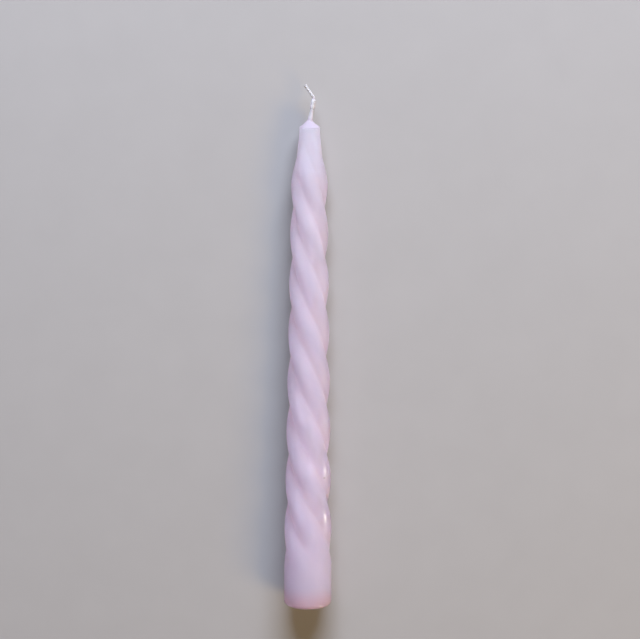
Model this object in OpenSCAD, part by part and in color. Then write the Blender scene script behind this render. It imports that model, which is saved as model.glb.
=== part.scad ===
// Twisted taper candle: a pale wax core under a coloured dip coat, on a plaited cotton wick.
// Base centre at the origin, +Z up the candle, sizes in millimetres.

/* [Butt] */
// Diameter of the plain round butt that goes into a candle holder
butt_d = 22; // [19:0.5:26]
// Height of the plain butt below the first grooves
butt_h = 14; // [10:0.5:20]
// Radius of the rounded edge round the base
base_edge_r = 2; // [0.6:0.1:2.8]

/* [Body] */
// Height of the shoulder, where the body ends and the wax cone begins
shoulder_h = 222.4; // [180:0.1:280]
// Height at which the body starts to taper
taper_h = 29; // [24:1:60]
// Diameter over the ridges at the top of the taper
taper_d = 16.6; // [14:0.1:19]
// Length of the rounded tip
tip_len = 25; // [18:0.5:36]
// Diameter of the neck under the shoulder
neck_d = 9.4; // [8:0.1:12]
// Length of the neck
neck_len = 1.4; // [1:0.1:8]

/* [Twist] */
// Number of lobes round the body
lobes = 4; // [3:1:6]
// Height of one full turn of the left-hand twist
twist_pitch = 91.5; // [70:0.5:180]
// Bearing of the first ridge at the base, in degrees
twist_start_angle = 56; // [0:1:120]
// Depth of the grooves between the lobes
groove_depth = 2.2; // [0.6:0.1:2.4]
// Roundness of the groove bottoms, from sharp to soft
groove_soft = 0.3; // [0.1:0.05:0.5]
// Length over which the grooves grow above the butt
groove_in_len = 24; // [14:1:40]
// Length over which the grooves die out below the neck
groove_out_len = 32; // [14:1:40]

/* [Coat] */
// Thickness of the coloured coat
coat_t = 0.8; // [0.5:0.1:1.2]
// Height of the wax cone above the shoulder
cone_h = 2.8; // [2.4:0.1:6]
// Thickness of the wax that climbs the wick, where it leaves the cone
sheath_foot_t = 0.66; // [0.4:0.02:0.9]
// Thickness of that wax at its top
sheath_t = 0.3; // [0.1:0.02:0.5]

/* [Wick] */
// Width of the plaited wick
wick_w = 1.14; // [0.9:0.02:1.6]
// Length of one full crossing of the plait
plait_pitch = 5; // [4:0.5:8]
// Gap left round the wick where it passes through wax
wick_fit = 0.03; // [0.02:0.01:0.1]
// Height above the shoulder where the wick starts to lean
root_rise = 2.1; // [1.5:0.1:2.5]
// Lean of the lower free wick to the right, in degrees
low_lean_angle = 9.8; // [0:0.1:15]
// Lean of the wick's tip to the left, in degrees
tip_lean_angle = 35; // [0:0.5:45]
// Length of the lower free wick
low_len = 10.3; // [9.5:0.1:14]
// Length of the bend between the lower wick and its tip
bend_len = 1.4; // [1.2:0.1:5]
// Length of the wick's tip
tip_wick_len = 6.3; // [3:0.1:12]

/* [Drip] */
// Diameter of the lower lump of wax on the wick
drip_d = 2.2; // [1.8:0.05:2.8]
// Diameter of the upper lump
drip_top_d = 2.1; // [1.7:0.05:2.8]
// Length of the two lumps together
drip_len = 4.3; // [3.8:0.1:5]
// Gap between the lower lump and the wax that climbs the wick below it
drip_gap = 0.1; // [0.05:0.05:1]

/* [Hidden] */
butt_r = butt_d / 2;
core_butt_r = butt_r - coat_t;
// Radius of the core's face at the base, inside the coat that wraps the rounded edge
core_foot_r = core_butt_r - base_edge_r;
neck_r = neck_d / 2;
neck_h = shoulder_h - neck_len;
tip_h = neck_h - tip_len;
// Rounded edge at the shoulder
shoulder_edge = 0.35;
// The faceted body starts inside the butt, a hair smaller than it
body_overlap = 1;
body_inset = 0.03;
// A strand's plait starts this far inside its straight part
strand_overlap = 0.5;
// How hollow the sides of the cone and of the sheath are, where 1 is straight
cone_hollow = 1.15;
sheath_hollow = 2;
// Wall of the drip at its two ends
drip_lip = 0.06;
// Middle and half length of the lower and the upper lump, as shares of the drip's length
low_lump = [0.28, 0.45];
top_lump = [0.68, 0.42];
drip_steps = 16;
// How far a cutter runs past the face it cuts
cut_over = 1;
// Facets of the coat, of the core inside it and of a wick strand
coat_sides = 48;
coat_rings = 66;
core_sides = 24;
core_rings = 40;
strand_sides = 6;
plait_steps = 12;
// The plait: how far a strand swings each way, its radius and the round hole that just takes all three
swing_x = 0.34 * wick_w;
swing_y = 0.205 * wick_w;
strand_r = 0.16 * wick_w;
wick_r = 1.02 * swing_x + strand_r;
bore_r = wick_r + wick_fit;
root_bend = 2;
root_gap = 0.2 * bore_r;
root_h = shoulder_h + root_rise;
plait_h = neck_h - plait_pitch;
// The wick's run from the base up: length of each stretch and the lean it adds
wick_run = [
    [root_h - root_bend / 2, 0],
    [root_bend, low_lean_angle],
    [low_len - root_bend / 2, 0],
    [bend_len, -low_lean_angle - tip_lean_angle],
    [tip_wick_len, 0]
];
wick_len = root_h + low_len + bend_len + tip_wick_len;
drip_foot = root_h + low_len - drip_len;
sheath_len = drip_foot - drip_gap - shoulder_h - cone_h;

// Eases from 0 to 1 as t goes from 0 to 1
function ease(t) = let (u = min(1, max(0, t))) u * u * (3 - 2 * u);
function mix(a, b, t) = a + (b - a) * t;
function heading(a) = [sin(a), 0, cos(a)];
function across(a) = [cos(a), 0, -sin(a)];

// Point and lean at a length s into one stretch that starts at p with lean a
function stretch(p, a, len, turn, s) =
    turn == 0
    ? [p + s * heading(a), a]
    : let (r = len / turn * 180 / PI, b = a + turn * s / len)
      [p + r * [cos(a) - cos(b), 0, sin(b) - sin(a)], b];

// Point and lean of the wick at a length s up from the base
function wick_at(s, i = 0, p = [0, 0, 0], a = 0) =
    let (run = wick_run[i])
    s <= run[0] || i == len(wick_run) - 1
    ? stretch(p, a, run[0], run[1], s)
    : let (end = stretch(p, a, run[0], run[1], run[0]))
      wick_at(s - run[0], i + 1, end[0], end[1]);

// Ridge radius of the body, neck, cone and sheath at a length s up from the base
function taper_r(s) = mix(butt_r, taper_d / 2, max(0, s - taper_h) / (tip_h - taper_h));
function cone_r(t) = mix(wick_r + sheath_foot_t, neck_r - shoulder_edge, pow(1 - t, cone_hollow));
function sheath_r(t) = wick_r + mix(sheath_t, sheath_foot_t, pow(1 - t, sheath_hollow));
function ridge_r(s) =
    s <= shoulder_h - shoulder_edge
    ? mix(taper_r(s), neck_r, ease((s - tip_h) / tip_len))
    : s <= shoulder_h
    ? neck_r - shoulder_edge * (1 - cos(90 * (s - shoulder_h + shoulder_edge) / shoulder_edge))
    : s <= shoulder_h + cone_h
    ? cone_r(min(1, (s - shoulder_h) / cone_h))
    : sheath_r(min(1, (s - shoulder_h - cone_h) / sheath_len));

// Depth of the grooves at a height s
function groove(s) =
    groove_depth * ease((s - butt_h) / groove_in_len)
    * ease((neck_h - s) / groove_out_len);
function twist(s) = twist_start_angle - 360 * s / twist_pitch;

// 1 on a ridge and 0 in a groove, for a bearing measured from a ridge
function lobe(a) =
    (sqrt(pow(cos(lobes * a / 2), 2) + groove_soft * groove_soft) - groove_soft)
    / (sqrt(1 + groove_soft * groove_soft) - groove_soft);

// One ring of points of the twisted body at s, inset from its surface
function body_ring(s, sides, inset) =
    let (c = wick_at(s), r = ridge_r(s) - inset, g = groove(s))
    [for (j = [0 : sides - 1])
        let (a = 360 * j / sides, q = r - g * (1 - lobe(a)), b = a + twist(s))
        c[0] + q * (cos(b) * across(c[1]) + sin(b) * [0, 1, 0])];

// Closed solid through a list of rings of equal length, lowest ring first
module ring_solid(rings) {
    n = len(rings[0]);
    last = len(rings) - 1;
    sides = [for (i = [0 : last - 1], j = [0 : n - 1])
        let (k = (j + 1) % n, a = i * n + j, b = i * n + k, c = a + n, d = b + n)
        each [[a, c, b], [b, c, d]]];
    foot = [for (j = [1 : n - 2]) [0, j, j + 1]];
    top = [for (j = [1 : n - 2]) [last * n, last * n + j + 1, last * n + j]];
    polyhedron([for (ring = rings) each ring], concat(foot, sides, top), convexity = 10);
}

// Heights of the rings from inside the butt up to the shoulder's edge
function body_heights(rings, top) =
    [for (i = [0 : rings]) mix(butt_h - body_overlap, top, i / rings)];

// Hole for the wick: straight up the candle, then leaning from a round pocket at the wick's root
module wick_bore() {
    translate([0, 0, -cut_over])
        cylinder(r = bore_r, h = root_h + cut_over - root_gap, $fn = 48);
    translate([0, 0, root_h])
        rotate([0, low_lean_angle, 0])
            translate([0, 0, root_gap])
                cylinder(r = bore_r, h = low_len + bend_len, $fn = 48);
    translate([0, 0, root_h])
        sphere(r = 1.1 * bore_r, $fn = 48);
}

// The core's outer shape, carried down below the base by drop when it is used as a cavity
module core_form(drop = 0) {
    foot = drop > 0 ? [[0, -drop], [core_foot_r, -drop]] : [[0, 0]];
    butt = [[core_foot_r, 0], [core_butt_r, base_edge_r], [core_butt_r, butt_h], [0, butt_h]];
    rotate_extrude($fn = 96)
        polygon(concat(foot, butt));
    ring_solid([for (s = body_heights(core_rings, shoulder_h - coat_t))
        body_ring(s, core_sides, coat_t + body_inset)]);
}

module butt_form() {
    rotate_extrude($fn = 96) {
        square([butt_r - base_edge_r, butt_h]);
        translate([0, base_edge_r])
            square([butt_r, butt_h - base_edge_r]);
        translate([butt_r - base_edge_r, base_edge_r])
            circle(r = base_edge_r, $fn = 48);
    }
}

module coat_form() {
    edge = [for (i = [1 : 4]) shoulder_h - shoulder_edge + shoulder_edge * i / 4];
    cone = [for (i = [1 : 6]) shoulder_h + cone_h * i / 6];
    sheath = [for (i = [1 : 7]) shoulder_h + cone_h + sheath_len * i / 7];
    butt_form();
    ring_solid([for (s = concat(body_heights(coat_rings, shoulder_h - shoulder_edge), edge, cone, sheath))
        body_ring(s, coat_sides, body_inset)]);
}

// Centre of strand k in the plait at s: straight inside the wax, crossing above it
function plait_angle(s, k) = 120 * k + 360 * max(0, s - plait_h) / plait_pitch;
function strand_at(s, k) =
    let (c = wick_at(s), a = plait_angle(s, k))
    c[0] + swing_x * sin(a) * across(c[1]) + swing_y * sin(2 * a) * [0, 1, 0];
function strand_ring(s, k, r) =
    let (c = strand_at(s, k), a = wick_at(s)[1])
    [for (j = [0 : strand_sides - 1])
        let (b = 360 * j / strand_sides)
        c + r * (cos(b) * across(a) + sin(b) * [0, 1, 0])];

module strand(k) {
    steps = ceil((wick_len - plait_h) / plait_pitch * plait_steps);
    foot = [for (s = [plait_h - strand_overlap, plait_h]) strand_ring(s, k, 0.96 * strand_r)];
    plait = [for (i = [1 : steps]) strand_ring(mix(plait_h, wick_len, i / steps), k, strand_r)];
    translate([strand_at(0, k)[0], strand_at(0, k)[1], 0])
        cylinder(r = strand_r, h = plait_h, $fn = 24);
    ring_solid(concat(foot, plait));
}

module wax_core()
    color("ivory")
        difference() {
            core_form();
            wick_bore();
        }

module colour_coat()
    color("thistle")
        difference() {
            coat_form();
            core_form(cut_over);
            wick_bore();
        }

module wick_strand_1()
    color("white")
        strand(0);

module wick_strand_2()
    color("whitesmoke")
        strand(1);

module wick_strand_3()
    color("snow")
        strand(2);

// Two lumps of dip wax round the lower free wick, at t up from the foot of the lower one
function lump(t, place) = max(0, 1 - pow((t - place[0]) / place[1], 2));
function drip_r(t) =
    let (edge = bore_r + drip_lip)
    edge + max((drip_d / 2 - edge) * lump(t, low_lump), (drip_top_d / 2 - edge) * lump(t, top_lump));
module wick_drip()
    color("lavender")
        translate([0, 0, root_h])
            rotate([0, low_lean_angle, 0])
                translate([0, 0, drip_foot - root_h])
                    difference() {
                        rotate_extrude($fn = 48)
                            polygon(concat([[0, 0]],
                                [for (i = [0 : drip_steps])
                                    [drip_r(i / drip_steps), drip_len * i / drip_steps]],
                                [[0, drip_len]]));
                        translate([0, 0, -cut_over])
                            cylinder(r = bore_r, h = drip_len + 2 * cut_over, $fn = 48);
                    }

wax_core();
colour_coat();
wick_strand_1();
wick_strand_2();
wick_strand_3();
wick_drip();
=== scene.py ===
"""Twisted taper candle: the looks built round its CAD model, for Blender 4.5."""

import math

import bpy
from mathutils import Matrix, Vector


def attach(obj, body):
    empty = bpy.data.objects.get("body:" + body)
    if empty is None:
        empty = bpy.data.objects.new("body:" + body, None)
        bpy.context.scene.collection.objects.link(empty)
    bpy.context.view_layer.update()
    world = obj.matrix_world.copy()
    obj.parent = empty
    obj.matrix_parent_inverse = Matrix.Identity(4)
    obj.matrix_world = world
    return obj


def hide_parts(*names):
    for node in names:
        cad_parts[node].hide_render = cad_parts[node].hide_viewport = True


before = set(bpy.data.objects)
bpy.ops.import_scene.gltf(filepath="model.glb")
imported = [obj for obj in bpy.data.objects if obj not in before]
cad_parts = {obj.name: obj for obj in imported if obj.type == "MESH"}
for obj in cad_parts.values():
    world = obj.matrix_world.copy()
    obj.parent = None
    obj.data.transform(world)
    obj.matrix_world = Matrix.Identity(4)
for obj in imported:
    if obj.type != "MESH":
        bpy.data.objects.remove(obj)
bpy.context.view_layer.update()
scene = bpy.context.scene
scene.view_settings.view_transform = "Standard"
MM = 0.001

# Camera
# The candle lies on a table and is seen from above and a little from the wick's end, so the rims of
# the base and of the shoulder both curve towards the base. The axis runs a little left of the middle.
CAMERA_PLACE = (0.0042, -1.13, 0.316)
CAMERA_TILT = math.radians(9.138)
CAMERA_ROLL = math.radians(-0.277)
CAMERA_LENS = 140.8
CAMERA_SENSOR = 36
eye = bpy.data.cameras.new("eye")
eye.sensor_width = CAMERA_SENSOR
eye.lens = CAMERA_LENS
camera = bpy.data.objects.new("camera", eye)
camera.location = CAMERA_PLACE
camera.rotation_euler = (math.radians(90) - CAMERA_TILT, CAMERA_ROLL, 0)
scene.collection.objects.link(camera)
scene.camera = camera

# Wick
# Three strands of soft white cotton, each a bundle of twisted yarns, plaited flat and soaked in wax.
# Inside the wax the strands run side by side to the base. The free end leans right, then bends left.
SHOULDER = 222.4 * MM
NECK = 221 * MM
WICK_WIDTH = 1.14 * MM
PLAIT_PITCH = 5 * MM
PLAIT_START = NECK - PLAIT_PITCH
ROOT_RISE = 2.1 * MM
ROOT = SHOULDER + ROOT_RISE
ROOT_BEND = 2 * MM
LOW_LEAN = math.radians(9.8)
TIP_LEAN = math.radians(35)
LOW_LENGTH = 10.3 * MM
TIP_BEND = 1.4 * MM
TIP_WICK = 6.3 * MM
WICK_LENGTH = ROOT + LOW_LENGTH + TIP_BEND + TIP_WICK
SOLID_SWING = 0.34 * WICK_WIDTH
SOLID_STRAND_R = 0.16 * WICK_WIDTH
WICK_RADIUS = 1.02 * SOLID_SWING + SOLID_STRAND_R
STRANDS = 3
SWING_ACROSS = 0.21 * WICK_WIDTH
SWING_THROUGH = 0.12 * WICK_WIDTH
STRAND_R = 0.34 * WICK_WIDTH
YARNS = 12
YARN_RADIUS = 0.09 * MM
YARN_PITCH = 3 * MM
YARN_SIDES = 6
FRAY = 0.3
FRAY_LENGTH = 1.6 * MM
FREE_STEPS = 300
STRAIGHT_STEP = 0.5 * MM
DRY_ABOVE = 237.5 * MM
SOAKED_BELOW = 234.5 * MM
DRY_COTTON = ((0.71, 0.69, 0.72, 1), (0.79, 0.77, 0.8, 1))
SOAKED_COTTON = ((0.76, 0.7, 0.79, 1), (0.85, 0.8, 0.88, 1))
DRY_ROUGHNESS = 0.85
SOAKED_SMOOTHER = -0.35
FIBRE_STRETCH = (1, 1, 0.25)
FIBRE_RELIEF = 0.02 * MM


def feed(tree, value, socket):
    """Links a socket to a socket, or sets a plain value on it."""
    if isinstance(value, bpy.types.NodeSocket):
        tree.links.new(value, socket)
    else:
        socket.default_value = value


def add(tree, kind, inputs=None, **settings):
    """Adds a node with its settings, and feeds its inputs by name or place."""
    made = tree.nodes.new(kind)
    for name, value in settings.items():
        setattr(made, name, value)
    for key, value in (inputs or {}).items():
        feed(tree, value, made.inputs[key])
    return made


def calc(tree, operation, *terms):
    """One arithmetic step on sockets or numbers."""
    made = add(tree, "ShaderNodeMath", operation=operation)
    for socket, term in zip(made.inputs, terms):
        feed(tree, term, socket)
    return made.outputs[0]


def ease(tree, value, low, high):
    """Rises smoothly from 0 to 1 as a value goes from low to high."""
    made = add(
        tree, "ShaderNodeMapRange", {"Value": value, "From Min": low, "From Max": high},
        interpolation_type="SMOOTHSTEP",
    )
    return made.outputs["Result"]


def split(tree, vector):
    """The x, y and z of a vector."""
    return add(tree, "ShaderNodeSeparateXYZ", {0: vector}).outputs


def new_tree(name, inputs):
    """A geometry tree with a mesh in, a mesh out and named sizes."""
    tree = bpy.data.node_groups.new(name, "GeometryNodeTree")
    kinds = {float: "NodeSocketFloat", int: "NodeSocketInt", "material": "NodeSocketMaterial"}
    tree.interface.new_socket("Geometry", in_out="INPUT", socket_type="NodeSocketGeometry")
    for label, kind in inputs.items():
        tree.interface.new_socket(label, in_out="INPUT", socket_type=kinds[kind])
    tree.interface.new_socket("Geometry", in_out="OUTPUT", socket_type="NodeSocketGeometry")
    return tree, tree.nodes.new("NodeGroupInput").outputs


def finish_tree(tree, geometry, material, tip_material=None, tip=None):
    """Ends a tree with smooth faces, real geometry and its material, and a second one where tip holds."""
    smooth = add(tree, "GeometryNodeSetShadeSmooth", {"Geometry": geometry})
    real = add(tree, "GeometryNodeRealizeInstances", {"Geometry": smooth.outputs[0]})
    dressed = add(tree, "GeometryNodeSetMaterial", {"Geometry": real.outputs[0], "Material": material})
    if tip_material:
        inputs = {"Geometry": dressed.outputs[0], "Selection": tip, "Material": tip_material}
        dressed = add(tree, "GeometryNodeSetMaterial", inputs)
    end = tree.nodes.new("NodeGroupOutput")
    tree.links.new(dressed.outputs[0], end.inputs[0])


def grow(name, points, tree, sizes, attributes=None):
    """Runs a tree on a line of points and keeps the result as a plain mesh object."""
    outline = bpy.data.meshes.new(name + "_outline")
    outline.from_pydata(points, [(i, i + 1) for i in range(len(points) - 1)], [])
    for label, values in (attributes or {}).items():
        outline.attributes.new(label, "FLOAT", "POINT").data.foreach_set("value", values)
    piece = bpy.data.objects.new(name, outline)
    scene.collection.objects.link(piece)
    modifier = piece.modifiers.new("shape", "NODES")
    modifier.node_group = tree
    for item in tree.interface.items_tree:
        if item.in_out == "INPUT" and item.name in sizes:
            modifier[item.identifier] = sizes[item.name]
    shaped = piece.evaluated_get(bpy.context.evaluated_depsgraph_get())
    mesh = bpy.data.meshes.new_from_object(shaped)
    mesh.name = name
    piece.modifiers.remove(modifier)
    piece.data = mesh
    return piece


def bend(tree, position, start, length, angle):
    """Bends everything above a height to the right, on one round arc."""
    x, y, z = split(tree, position)
    above = calc(tree, "SUBTRACT", z, start)
    on_arc = calc(tree, "MINIMUM", calc(tree, "MAXIMUM", above, 0.0), length)
    past = calc(tree, "MAXIMUM", calc(tree, "SUBTRACT", above, length), 0.0)
    curve = angle / length
    turn = calc(tree, "MULTIPLY", on_arc, curve)
    cosine = calc(tree, "COSINE", turn)
    sine = calc(tree, "SINE", turn)
    arc_x = calc(tree, "DIVIDE", calc(tree, "SUBTRACT", 1.0, cosine), curve)
    arc_z = calc(tree, "DIVIDE", sine, curve)
    mid_x = calc(tree, "MULTIPLY_ADD", past, math.sin(angle), arc_x)
    mid_z = calc(tree, "MULTIPLY_ADD", past, math.cos(angle), arc_z)
    new_x = calc(tree, "MULTIPLY_ADD", x, cosine, mid_x)
    low_z = calc(tree, "ADD", calc(tree, "MINIMUM", z, start), mid_z)
    new_z = calc(tree, "SUBTRACT", low_z, calc(tree, "MULTIPLY", x, sine))
    return add(tree, "ShaderNodeCombineXYZ", {0: new_x, 1: y, 2: new_z}).outputs[0]


def along_wick(tree, position):
    """Carries a straight position up the wick's own bends."""
    tip_bent = bend(tree, position, ROOT + LOW_LENGTH, TIP_BEND, -LOW_LEAN - TIP_LEAN)
    return bend(tree, tip_bent, ROOT - ROOT_BEND / 2, ROOT_BEND, LOW_LEAN)


def new_material(name):
    """A node material: its tree, its Principled shader and its Object coordinates."""
    material = bpy.data.materials.new(name)
    material.use_nodes = True
    tree = material.node_tree
    shader = tree.nodes["Principled BSDF"]
    place = add(tree, "ShaderNodeTexCoord").outputs["Object"]
    return material, tree, shader, place


def set_plain(shader, values):
    """Sets a shader's plain values by name."""
    for name, value in values.items():
        shader.inputs[name].default_value = value


def stretch(tree, place, scale, turn=0.0):
    """Stretches a place, turned about the candle's axis."""
    inputs = {"Vector": place, "Rotation": (0, 0, turn), "Scale": scale}
    return add(tree, "ShaderNodeMapping", inputs).outputs[0]


def noise(tree, place, scale, detail):
    """Soft random values from 0 to 1 over a place."""
    inputs = {"Vector": place, "Scale": scale, "Detail": detail}
    return add(tree, "ShaderNodeTexNoise", inputs).outputs[0]


def blend_colours(tree, amount, first, second):
    """Mixes two colours by an amount."""
    made = add(tree, "ShaderNodeMix", {"Factor": amount}, data_type="RGBA")
    feed(tree, first, made.inputs[6])
    feed(tree, second, made.inputs[7])
    return made.outputs[2]


def roughen(tree, shader, height, distance, strength=1.0):
    """Fine relief on a shader from a height."""
    inputs = {"Height": height, "Distance": distance, "Strength": strength}
    feed(tree, add(tree, "ShaderNodeBump", inputs).outputs[0], shader.inputs["Normal"])


cotton, tree, shader, place = new_material("waxed_cotton")
fibre = noise(tree, stretch(tree, place, FIBRE_STRETCH), scale=9000, detail=4)
soak = ease(tree, split(tree, place)[2], DRY_ABOVE, SOAKED_BELOW)
dry = blend_colours(tree, fibre, *DRY_COTTON)
soaked = blend_colours(tree, fibre, *SOAKED_COTTON)
feed(tree, blend_colours(tree, soak, dry, soaked), shader.inputs["Base Color"])
feed(tree, calc(tree, "MULTIPLY_ADD", soak, SOAKED_SMOOTHER, DRY_ROUGHNESS), shader.inputs["Roughness"])
set_plain(
    shader,
    {
        "Specular IOR Level": 0.1,
        "Subsurface Weight": 0.25,
        "Subsurface Radius": (0.5, 0.45, 0.45),
        "Subsurface Scale": 0.4 * MM,
    },
)
roughen(tree, shader, fibre, FIBRE_RELIEF)

tree, wide = new_tree(
    "plaited strand",
    {
        "Strand": int, "Yarns": int, "Yarn radius": float, "Swing across": float, "Swing through": float,
        "Bundle radius": float, "Plait pitch": float, "Plait start": float, "Yarn pitch": float,
        "Fray": float, "Material": "material",
    },
)
run = add(tree, "GeometryNodeMeshToCurve", {"Mesh": wide["Geometry"]}).outputs[0]
copies = add(
    tree, "GeometryNodeDuplicateElements", {"Geometry": run, "Amount": wide["Yarns"]}, domain="SPLINE"
)
s = split(tree, add(tree, "GeometryNodeInputPosition").outputs[0])[2]
plaited = calc(tree, "MAXIMUM", calc(tree, "SUBTRACT", s, wide["Plait start"]), 0.0)
turns = calc(
    tree, "ADD", calc(tree, "DIVIDE", plaited, wide["Plait pitch"]),
    calc(tree, "DIVIDE", wide["Strand"], float(STRANDS)),
)
phase = calc(tree, "MULTIPLY", turns, math.tau)
across = calc(tree, "MULTIPLY", calc(tree, "SINE", phase), wide["Swing across"])
double_phase = calc(tree, "MULTIPLY", phase, 2.0)
through = calc(tree, "MULTIPLY", calc(tree, "SINE", double_phase), wide["Swing through"])
lay = calc(
    tree, "ADD", calc(tree, "DIVIDE", copies.outputs["Duplicate Index"], wide["Yarns"]),
    calc(tree, "DIVIDE", plaited, wide["Yarn pitch"]),
)
lay = calc(tree, "MULTIPLY", lay, math.tau)
near_end = ease(tree, s, WICK_LENGTH - FRAY_LENGTH, WICK_LENGTH)
splay = calc(tree, "MULTIPLY_ADD", near_end, wide["Fray"], 1.0)
reach = calc(tree, "MULTIPLY", wide["Bundle radius"], splay)
yarn_x = calc(tree, "MULTIPLY_ADD", calc(tree, "COSINE", lay), reach, across)
yarn_y = calc(tree, "MULTIPLY_ADD", calc(tree, "SINE", lay), reach, through)
straight = add(tree, "ShaderNodeCombineXYZ", {0: yarn_x, 1: yarn_y, 2: s}).outputs[0]
laid = add(
    tree, "GeometryNodeSetPosition",
    {"Geometry": copies.outputs["Geometry"], "Position": along_wick(tree, straight)},
)
thread = add(
    tree, "GeometryNodeCurvePrimitiveCircle", {"Resolution": YARN_SIDES, "Radius": wide["Yarn radius"]}
)
tube = add(
    tree, "GeometryNodeCurveToMesh",
    {"Curve": laid.outputs[0], "Profile Curve": thread.outputs[0], "Fill Caps": True},
)
finish_tree(tree, tube.outputs[0], wide["Material"])

heights = [0.0, STRAIGHT_STEP, PLAIT_START / 2, PLAIT_START - STRAIGHT_STEP]
for i in range(FREE_STEPS + 1):
    heights.append(PLAIT_START + (WICK_LENGTH - PLAIT_START) * i / FREE_STEPS)
for number in range(STRANDS):
    strand = grow(
        f"wick_yarns_{number + 1}",
        [(0, 0, height) for height in heights],
        tree,
        {
            "Strand": number, "Yarns": YARNS, "Yarn radius": YARN_RADIUS,
            "Swing across": SWING_ACROSS, "Swing through": SWING_THROUGH,
            "Bundle radius": STRAND_R - YARN_RADIUS, "Plait pitch": PLAIT_PITCH,
            "Plait start": PLAIT_START, "Yarn pitch": YARN_PITCH, "Fray": FRAY, "Material": cotton,
        },
    )
    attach(strand, "root")
    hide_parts(f"wick_strand_{number + 1}")

# Core
# The pale wax rod that was drawn, twisted and then dipped. It shows only at the base, where the
# finished candle was trimmed flat with a warm blade that left faint straight marks.
PALE_WAX = ((0.8, 0.73, 0.7, 1), (0.88, 0.83, 0.8, 1))
BLADE_TURN = 0.5
BLADE_STRETCH = (1, 0.06, 1)
BLADE_RELIEF = 0.06 * MM
CORE_ROUGHNESS = 0.4
SCRAPE_ROUGHNESS = 0.25
core_wax, tree, shader, place = new_material("core_wax")
mottle = noise(tree, place, scale=350, detail=4)
feed(tree, blend_colours(tree, mottle, *PALE_WAX), shader.inputs["Base Color"])
scrape = noise(tree, stretch(tree, place, BLADE_STRETCH, BLADE_TURN), scale=2600, detail=3)
rough = calc(tree, "MULTIPLY_ADD", scrape, SCRAPE_ROUGHNESS, CORE_ROUGHNESS)
feed(tree, rough, shader.inputs["Roughness"])
set_plain(
    shader,
    {
        "Subsurface Weight": 0.5,
        "Subsurface Radius": (1.0, 0.85, 0.75),
        "Subsurface Scale": 2 * MM,
    },
)
roughen(tree, shader, scrape, BLADE_RELIEF)
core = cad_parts["wax_core"]
core.data.materials.clear()
core.data.materials.append(core_wax)

# Colour coat
# The lilac-pink skin of the last dips over the twisted core, glossy and slightly clear, with soft lobes
# that die out into a plain round butt below and a crisp shoulder, cone and wick sheath above.
BUTT_R = 11 * MM
BUTT_H = 14 * MM
BASE_EDGE = 2 * MM
TAPER_H = 29 * MM
TAPER_R = 8.3 * MM
TIP_LENGTH = 25 * MM
TIP_H = NECK - TIP_LENGTH
NECK_R = 4.7 * MM
SHOULDER_EDGE = 0.35 * MM
LOBES = 4.0
TURN_LENGTH = 91.5 * MM
FIRST_RIDGE = math.radians(56)
GROOVE_DEPTH = 2.2 * MM
GROOVE_ROUNDNESS = 0.3
GROOVE_IN = 24 * MM
GROOVE_OUT = 32 * MM
COAT = 0.8 * MM
CONE_H = 2.8 * MM
CONE_HOLLOW = 1.15
SHEATH_LENGTH = 5.2 * MM
SHEATH_FOOT = 0.66 * MM
SHEATH = 0.3 * MM
WICK_FIT = 0.03 * MM
BORE_R = WICK_RADIUS + WICK_FIT
CORE_FIT = 0.05 * MM
SIDE_ROWS = 380
INNER_ROWS = 70
BASE_EDGE_ROWS = 12
SHOULDER_EDGE_ROWS = 6
CONE_ROWS = 24
SHEATH_ROWS = 16
BORE_ROWS = 12
COAT_SIDES = 160


def smooth_step(t):
    """Rises smoothly from 0 to 1."""
    t = min(1, max(0, t))
    return t * t * (3 - 2 * t)


def ridge_radius(height):
    """Radius over the ridges at a height."""
    taper = BUTT_R + (TAPER_R - BUTT_R) * max(0, height - TAPER_H) / (TIP_H - TAPER_H)
    return taper + (NECK_R - taper) * smooth_step((height - TIP_H) / TIP_LENGTH)


def groove_depth(height):
    """Depth of the grooves at a height, which is nothing at the butt and at the neck."""
    fade_in = smooth_step((height - BUTT_H) / GROOVE_IN)
    return GROOVE_DEPTH * fade_in * smooth_step((NECK - height) / GROOVE_OUT)


def cone_radius(t):
    """Radius of the cone from its foot, 0, to its top, 1."""
    low = WICK_RADIUS + SHEATH_FOOT
    return low + (NECK_R - SHOULDER_EDGE - low) * (1 - t) ** CONE_HOLLOW


def sheath_radius(t):
    """Radius of the wax that climbs the wick, from its foot, 0, to its top, 1."""
    return WICK_RADIUS + SHEATH + (SHEATH_FOOT - SHEATH) * (1 - t) ** 2


profile = [(BUTT_R - COAT - BASE_EDGE, 0)]
for i in range(BASE_EDGE_ROWS + 1):
    turn = math.radians(90) * i / BASE_EDGE_ROWS
    profile.append((BUTT_R - BASE_EDGE * (1 - math.sin(turn)), BASE_EDGE * (1 - math.cos(turn))))
side_top = SHOULDER - SHOULDER_EDGE
for i in range(1, SIDE_ROWS + 1):
    height = BASE_EDGE + (side_top - BASE_EDGE) * i / SIDE_ROWS
    profile.append((ridge_radius(height), height))
for i in range(1, SHOULDER_EDGE_ROWS + 1):
    turn = math.radians(90) * i / SHOULDER_EDGE_ROWS
    radius = NECK_R - SHOULDER_EDGE * (1 - math.cos(turn))
    profile.append((radius, side_top + SHOULDER_EDGE * math.sin(turn)))
for i in range(1, CONE_ROWS + 1):
    profile.append((cone_radius(i / CONE_ROWS), SHOULDER + CONE_H * i / CONE_ROWS))
cone_top = SHOULDER + CONE_H
for i in range(1, SHEATH_ROWS + 1):
    profile.append((sheath_radius(i / SHEATH_ROWS), cone_top + SHEATH_LENGTH * i / SHEATH_ROWS))
sheath_top = cone_top + SHEATH_LENGTH
core_top = SHOULDER - COAT
for i in range(BORE_ROWS + 1):
    profile.append((BORE_R, sheath_top + (core_top - sheath_top) * i / BORE_ROWS))
profile.append((NECK_R - COAT - CORE_FIT, core_top))
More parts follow.
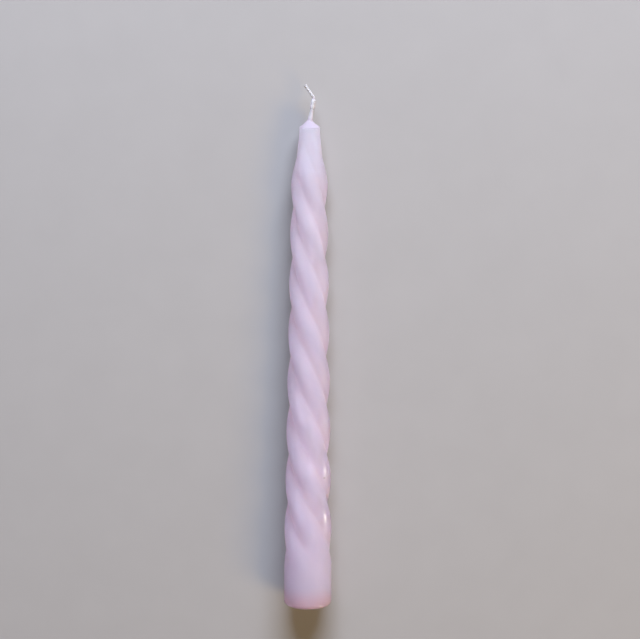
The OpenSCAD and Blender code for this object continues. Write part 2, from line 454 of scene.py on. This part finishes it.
for i in range(INNER_ROWS + 1):
    height = core_top + (BASE_EDGE - core_top) * i / INNER_ROWS
    profile.append((ridge_radius(height) - COAT, height))
profile.append(profile[0])

RIDGE_LOW = (0.63, 0.53, 0.7, 1)
RIDGE_HIGH = (0.62, 0.54, 0.675, 1)
# Painted shade: the grooves get a darker, pinker colour than the ridges, standing for the light that
# scatters deeper into the wax there.
GROOVE_SHADE_LOW = (0.63, 0.5, 0.635, 1)
GROOVE_SHADE_HIGH = (0.62, 0.51, 0.61, 1)
GROOVE_SHADE_SHARE = 0.5
DRIFT = (0.7, 0.58, 0.7, 1)
DRIFT_SHARE = 0.12
# Painted light: the narrow neck is painted paler to make up for the light that scatters out of it.
NECK_PAINTED_LIGHT = (0.7, 0.615, 0.755, 1)
NECK_LIGHT_RISES = (198 * MM, 219 * MM)
BASE_PINK = (0.7, 0.465, 0.595, 1)
BASE_PINKENS = (11 * MM, 1 * MM)
SLOW_CHANGE = (20 * MM, 230 * MM)
SPECK = (0.36, 0.28, 0.33, 1)
SPECK_FLATTEN = (1, 0.05, 1)
SPECK_PLACE = (7.43 * MM, -0.26 * MM, 61.3 * MM)
SPECK_FADES = (0.8 * MM, 0.15 * MM)
SPECK_SHARE = 0.6
LEAST_GLOSS = 0.06
LOW_GLOSS = 0.2
LOW_GLOSS_GROWS = (100 * MM, 70 * MM)
HOLLOW_DULLS = (0.5, 0.32)
RIM_GLOSS = 0.3
RIM_GLOSS_GROWS = (3 * MM, 2 * MM)
COAT_ROUGHNESS = 0.3
FLECK_ROUGHNESS = 0.08
DIP_RELIEF = 0.08 * MM

coat_wax, tree, shader, place = new_material("coat_wax")
level = split(tree, place)[2]
hollow = add(tree, "ShaderNodeAttribute", attribute_name="hollow").outputs["Fac"]
drift = noise(tree, place, scale=60, detail=2)
fleck = noise(tree, place, scale=900, detail=3)
up_side = ease(tree, level, *SLOW_CHANGE)
pale = blend_colours(tree, up_side, RIDGE_LOW, RIDGE_HIGH)
# Painted shade in the grooves, mixed in by how deep each point sits.
groove_shade = blend_colours(tree, up_side, GROOVE_SHADE_LOW, GROOVE_SHADE_HIGH)
skin = blend_colours(tree, calc(tree, "MULTIPLY", hollow, GROOVE_SHADE_SHARE), pale, groove_shade)
skin = blend_colours(tree, calc(tree, "MULTIPLY", drift, DRIFT_SHARE), skin, DRIFT)
# Painted light on the neck, rising towards the shoulder.
skin = blend_colours(tree, ease(tree, level, *NECK_LIGHT_RISES), skin, NECK_PAINTED_LIGHT)
skin = blend_colours(tree, ease(tree, level, *BASE_PINKENS), skin, BASE_PINK)
# A small dark spot painted into the skin colour, low on the right of the front.
from_speck = add(
    tree, "ShaderNodeVectorMath", {0: stretch(tree, place, SPECK_FLATTEN), 1: SPECK_PLACE},
    operation="DISTANCE",
).outputs["Value"]
dark_speck = calc(tree, "MULTIPLY", ease(tree, from_speck, *SPECK_FADES), SPECK_SHARE)
skin = blend_colours(tree, dark_speck, skin, SPECK)
feed(tree, skin, shader.inputs["Base Color"])
rough = calc(tree, "MULTIPLY_ADD", fleck, FLECK_ROUGHNESS, COAT_ROUGHNESS)
feed(tree, rough, shader.inputs["Roughness"])
gloss = calc(tree, "MULTIPLY_ADD", ease(tree, level, *LOW_GLOSS_GROWS), LOW_GLOSS, LEAST_GLOSS)
gloss = calc(tree, "MULTIPLY", gloss, ease(tree, hollow, *HOLLOW_DULLS))
gloss = calc(tree, "MULTIPLY_ADD", ease(tree, level, *RIM_GLOSS_GROWS), RIM_GLOSS, gloss)
feed(tree, gloss, shader.inputs["Coat Weight"])
shader.subsurface_method = "BURLEY"
set_plain(
    shader,
    {
        "Subsurface Weight": 1.0,
        "Subsurface Radius": (1.0, 0.75, 0.85),
        "Subsurface Scale": 42 * MM,
        "IOR": 1.44,
        "Specular IOR Level": 0.05,
        "Coat Roughness": 0.18,
    },
)
ripple = noise(tree, place, scale=420, detail=2)
roughen(tree, shader, ripple, DIP_RELIEF, strength=0.5)

CONE_WAX = ((0.51, 0.43, 0.52, 1), (0.59, 0.51, 0.6, 1))
# The sheath and the lumps are painted paler than the cone. Partly this is the thin wax over white cotton,
# and partly it is painted light that makes up for the light these small pieces lose.
SHEATH_WAX_AND_LIGHT = ((0.79, 0.69, 0.81, 1), (0.88, 0.79, 0.89, 1))
LUMP_WAX_AND_LIGHT = ((0.83, 0.74, 0.86, 1), (0.9, 0.83, 0.92, 1))
CONE_TO_SHEATH = (224.5 * MM, 227.5 * MM)
SHEATH_TO_LUMP = (230 * MM, 230.8 * MM)
CRUST_RELIEF = 0.1 * MM
tip_wax, tree, shader, place = new_material("tip_wax")
crust = noise(tree, place, scale=2600, detail=3)
level = split(tree, place)[2]
thick = blend_colours(tree, crust, *CONE_WAX)
# Thin wax and painted light on the sheath, paler still on the lumps.
thin_wax_and_light = blend_colours(tree, crust, *SHEATH_WAX_AND_LIGHT)
lump_wax_and_light = blend_colours(tree, crust, *LUMP_WAX_AND_LIGHT)
thin_wax_and_light = blend_colours(tree, ease(tree, level, *SHEATH_TO_LUMP), thin_wax_and_light, lump_wax_and_light)
feed(tree, blend_colours(tree, ease(tree, level, *CONE_TO_SHEATH), thick, thin_wax_and_light), shader.inputs["Base Color"])
set_plain(
    shader,
    {
        "Roughness": 0.35,
        "Specular IOR Level": 0.05,
        "Subsurface Weight": 0.6,
        "Subsurface Radius": (1.0, 0.8, 0.9),
        "Subsurface Scale": 2 * MM,
        "Coat Weight": 0.03,
        "Coat Roughness": 0.2,
    },
)
roughen(tree, shader, crust, CRUST_RELIEF)

WAVER_SQUEEZE = 45.0
WAVER_SCALE = 1.3
MERGE_GAP = 0.001 * MM
tree, wide = new_tree(
    "twisted wax",
    {
        "Sides": int, "Lobes": float, "Turn length": float, "First ridge": float, "Groove roundness": float,
        "Hand waver": float, "Seed": float, "Material": "material", "Tip height": float,
        "Tip material": "material",
    },
)
count = add(tree, "GeometryNodeAttributeDomainSize", {0: wide["Geometry"]}).outputs["Point Count"]
columns = calc(tree, "ADD", wide["Sides"], 1.0)
grid = add(
    tree, "GeometryNodeMeshGrid", {"Size X": 1.0, "Size Y": 1.0, "Vertices X": count, "Vertices Y": columns}
)
here = add(tree, "GeometryNodeInputPosition").outputs[0]
spot = split(tree, here)
row = calc(tree, "MULTIPLY", calc(tree, "ADD", spot[0], 0.5), calc(tree, "SUBTRACT", count, 1.0))
row = add(tree, "FunctionNodeFloatToInt", {0: row}, rounding_mode="ROUND").outputs[0]
sampled = add(
    tree, "GeometryNodeSampleIndex", {"Geometry": wide["Geometry"], "Value": here, "Index": row},
    data_type="FLOAT_VECTOR",
).outputs[0]
on_profile = split(tree, sampled)
ridge = on_profile[0]
s = on_profile[2]
groove = add(tree, "GeometryNodeInputNamedAttribute", {"Name": "groove"}, data_type="FLOAT").outputs[0]
depth = add(
    tree, "GeometryNodeSampleIndex", {"Geometry": wide["Geometry"], "Value": groove, "Index": row},
    data_type="FLOAT",
).outputs[0]
bearing = calc(tree, "MULTIPLY", calc(tree, "ADD", spot[1], 0.5), math.tau)
swell = calc(tree, "COSINE", calc(tree, "MULTIPLY", bearing, calc(tree, "MULTIPLY", wide["Lobes"], 0.5)))
soft = wide["Groove roundness"]
soft_square = calc(tree, "MULTIPLY", soft, soft)
rounded = calc(tree, "SQRT", calc(tree, "MULTIPLY_ADD", swell, swell, soft_square))
full = calc(tree, "SUBTRACT", calc(tree, "SQRT", calc(tree, "ADD", soft_square, 1.0)), soft)
lobe = calc(tree, "DIVIDE", calc(tree, "SUBTRACT", rounded, soft), full)
sunk = calc(tree, "MULTIPLY", depth, calc(tree, "SUBTRACT", 1.0, lobe))
turned_by = calc(tree, "MULTIPLY", calc(tree, "DIVIDE", s, wide["Turn length"]), math.tau)
turned = calc(tree, "ADD", bearing, calc(tree, "SUBTRACT", wide["First ridge"], turned_by))
cosine = calc(tree, "COSINE", turned)
sine = calc(tree, "SINE", turned)
waver_height = calc(tree, "MULTIPLY", s, WAVER_SQUEEZE)
waver_place = add(tree, "ShaderNodeCombineXYZ", {0: cosine, 1: sine, 2: waver_height}).outputs[0]
waver = add(
    tree, "ShaderNodeTexNoise",
    {"Vector": waver_place, "W": wide["Seed"], "Scale": WAVER_SCALE, "Detail": 2.0},
    noise_dimensions="4D",
).outputs[0]
waver = calc(tree, "MULTIPLY", calc(tree, "SUBTRACT", waver, 0.5), wide["Hand waver"])
radius = calc(tree, "ADD", calc(tree, "SUBTRACT", ridge, sunk), waver)
straight = add(
    tree, "ShaderNodeCombineXYZ",
    {0: calc(tree, "MULTIPLY", radius, cosine), 1: calc(tree, "MULTIPLY", radius, sine), 2: s},
).outputs[0]
marked = add(
    tree, "GeometryNodeStoreNamedAttribute",
    {"Geometry": grid.outputs["Mesh"], "Name": "hollow", "Value": calc(tree, "DIVIDE", sunk, GROOVE_DEPTH)},
    data_type="FLOAT", domain="POINT",
)
placed = add(
    tree, "GeometryNodeSetPosition", {"Geometry": marked.outputs[0], "Position": along_wick(tree, straight)}
)
closed = add(tree, "GeometryNodeMergeByDistance", {"Geometry": placed.outputs[0], "Distance": MERGE_GAP})
at_tip = calc(tree, "GREATER_THAN", spot[2], wide["Tip height"])
finish_tree(tree, closed.outputs[0], wide["Material"], wide["Tip material"], at_tip)
twisted_wax = tree

coat = grow(
    "colour_coat_wax",
    [(radius, 0, height) for radius, height in profile],
    twisted_wax,
    {
        "Sides": COAT_SIDES, "Lobes": LOBES, "Turn length": TURN_LENGTH, "First ridge": FIRST_RIDGE,
        "Groove roundness": GROOVE_ROUNDNESS, "Hand waver": 0.0, "Seed": 1.0, "Material": coat_wax,
        "Tip height": side_top, "Tip material": tip_wax,
    },
    {"groove": [groove_depth(height) for radius, height in profile]},
)
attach(coat, "root")
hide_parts("colour_coat")

# Drip
# Two lumps of the same dip wax that ran down and froze round the free wick just below its bend.
# They cling to the cotton a hair above the sheath, and they are uneven as such lumps are.
DRIP_R = 1.1 * MM
DRIP_TOP_R = 1.05 * MM
DRIP_LENGTH = 4.3 * MM
DRIP_LIP = 0.06 * MM
DRIP_EDGE_R = BORE_R + DRIP_LIP
DRIP_FOOT = ROOT + LOW_LENGTH - DRIP_LENGTH
DRIP_ROWS = 40
DRIP_BORE_ROWS = 8
DRIP_SIDES = 48
DRIP_WAVER = 0.2 * MM
LOW_LUMP = (0.28, 0.45)
TOP_LUMP = (0.68, 0.42)
ABOVE_ALL = 1.0


def lump(t, middle, half):
    """One round lump, 1 high at its middle."""
    return max(0, 1 - ((t - middle) / half) ** 2)


def drip_radius(t):
    """Radius of the two lumps from their foot, 0, to their top, 1."""
    low = (DRIP_R - DRIP_EDGE_R) * lump(t, *LOW_LUMP)
    high = (DRIP_TOP_R - DRIP_EDGE_R) * lump(t, *TOP_LUMP)
    return DRIP_EDGE_R + max(low, high)


drip_profile = []
for i in range(DRIP_ROWS + 1):
    t = i / DRIP_ROWS
    drip_profile.append((drip_radius(t), DRIP_FOOT + DRIP_LENGTH * t))
for i in range(DRIP_BORE_ROWS + 1):
    drip_profile.append((BORE_R, DRIP_FOOT + DRIP_LENGTH * (1 - i / DRIP_BORE_ROWS)))
drip_profile.append(drip_profile[0])
drip = grow(
    "wick_drip_wax",
    [(radius, 0, height) for radius, height in drip_profile],
    twisted_wax,
    {
        "Sides": DRIP_SIDES, "Lobes": LOBES, "Turn length": TURN_LENGTH, "First ridge": 0.0,
        "Groove roundness": GROOVE_ROUNDNESS, "Hand waver": DRIP_WAVER, "Seed": 3.0, "Material": tip_wax,
        "Tip height": ABOVE_ALL, "Tip material": tip_wax,
    },
    {"groove": [0.0] * len(drip_profile)},
)
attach(drip, "root")
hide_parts("wick_drip")

# Table
# The pale painted board that the candle lies on. The candle touches it at the butt and near the tip.
# Seen from behind it lets the view through, and it takes no light away from the candle's back.
BOARD_MIDDLE = (CAMERA_PLACE[0], 0.134)
BOARD_HALF = 0.18
BOARD_SLOPE = -0.0168
BUTT_REST = (11.1 * MM, 30 * MM)
BOARD_PAINT = ((0.49, 0.475, 0.478, 1), (0.52, 0.505, 0.508, 1))
PAINT_RELIEF = 0.05 * MM
corners = []
for side, end in ((-1, -1), (1, -1), (1, 1), (-1, 1)):
    height = BOARD_MIDDLE[1] + end * BOARD_HALF
    back = BUTT_REST[0] + BOARD_SLOPE * (height - BUTT_REST[1])
    corners.append((BOARD_MIDDLE[0] + side * BOARD_HALF, back, height))
board_mesh = bpy.data.meshes.new("table_board")
board_mesh.from_pydata(corners, [], [(0, 1, 2, 3)])
board = bpy.data.objects.new("table_board", board_mesh)
scene.collection.objects.link(board)
paint, tree, shader, place = new_material("board_paint")
grain = noise(tree, place, scale=60, detail=4)
feed(tree, blend_colours(tree, grain, *BOARD_PAINT), shader.inputs["Base Color"])
set_plain(shader, {"Roughness": 0.7, "Specular IOR Level": 0.2})
brushed = noise(tree, place, scale=1500, detail=2)
roughen(tree, shader, brushed, PAINT_RELIEF, strength=0.3)
behind = add(tree, "ShaderNodeNewGeometry").outputs["Backfacing"]
see_through = add(tree, "ShaderNodeBsdfTransparent").outputs[0]
shown = add(tree, "ShaderNodeMixShader", {0: behind, 1: shader.outputs[0], 2: see_through})
tree.links.new(shown.outputs[0], tree.nodes["Material Output"].inputs["Surface"])
board_mesh.materials.append(paint)
board.visible_diffuse = False
board.visible_shadow = False

# Light
# Cool daylight from a broad window beyond the wick, and a warm lamp from low on the right. A tall bulb
# beside the lamp makes only the small highlights. The faint all-round light stands for the room and
# for what the pale board throws back.
LIT_MIDDLE = (0, 0, 0.12)
ROOM_FRONT = (0.09, 0.075, 0.08, 1)
ROOM_BACK = ((0.34, 0.32, 0.33, 1), (0.54, 0.5, 0.51, 1))
ROOM_SEEN = (0.6, 0.6, 0.61, 1)
LEFT_TO_RIGHT = (-0.6, 0.6)
FRONT_TO_BACK = (-0.3, 0.6)


def area_light(name, toward, distance, size, watts, colour, glossy=True, diffuse=True):
    """A soft rectangular light that faces the candle from a direction."""
    lamp = bpy.data.lights.new(name, "AREA")
    lamp.shape = "RECTANGLE"
    lamp.size, lamp.size_y = size
    lamp.energy = watts
    lamp.color = colour
    fixture = bpy.data.objects.new(name, lamp)
    aim = Vector(toward).normalized()
    fixture.location = Vector(LIT_MIDDLE) + aim * distance
    fixture.rotation_mode = "QUATERNION"
    fixture.rotation_quaternion = aim.to_track_quat("Z", "Y")
    fixture.visible_camera = False
    fixture.visible_glossy = glossy
    fixture.visible_diffuse = diffuse
    scene.collection.objects.link(fixture)


area_light(
    "window", toward=(0.073, -0.545, 0.835), distance=1.65, size=(1.18, 0.73), watts=45.5,
    colour=(0.796, 0.871, 1.0),
)
area_light(
    "lamp", toward=(0.66, -0.6, -0.45), distance=1.9, size=(0.75, 0.75), watts=12.0,
    colour=(1.0, 0.7, 0.25), glossy=False,
)
area_light(
    "bulb", toward=(0.785, -0.265, -0.56), distance=1.9, size=(0.05, 0.2), watts=28.0,
    colour=(1.0, 0.95, 0.8), diffuse=False,
)

world = bpy.data.worlds.new("room")
scene.world = world
world.use_nodes = True
tree = world.node_tree
toward = split(tree, add(tree, "ShaderNodeTexCoord").outputs["Generated"])
back_light = blend_colours(tree, ease(tree, toward[0], *LEFT_TO_RIGHT), *ROOM_BACK)
glow = blend_colours(tree, ease(tree, toward[1], *FRONT_TO_BACK), ROOM_FRONT, back_light)
seen = add(tree, "ShaderNodeLightPath").outputs["Is Camera Ray"]
feed(tree, blend_colours(tree, seen, glow, ROOM_SEEN), tree.nodes["Background"].inputs["Color"])
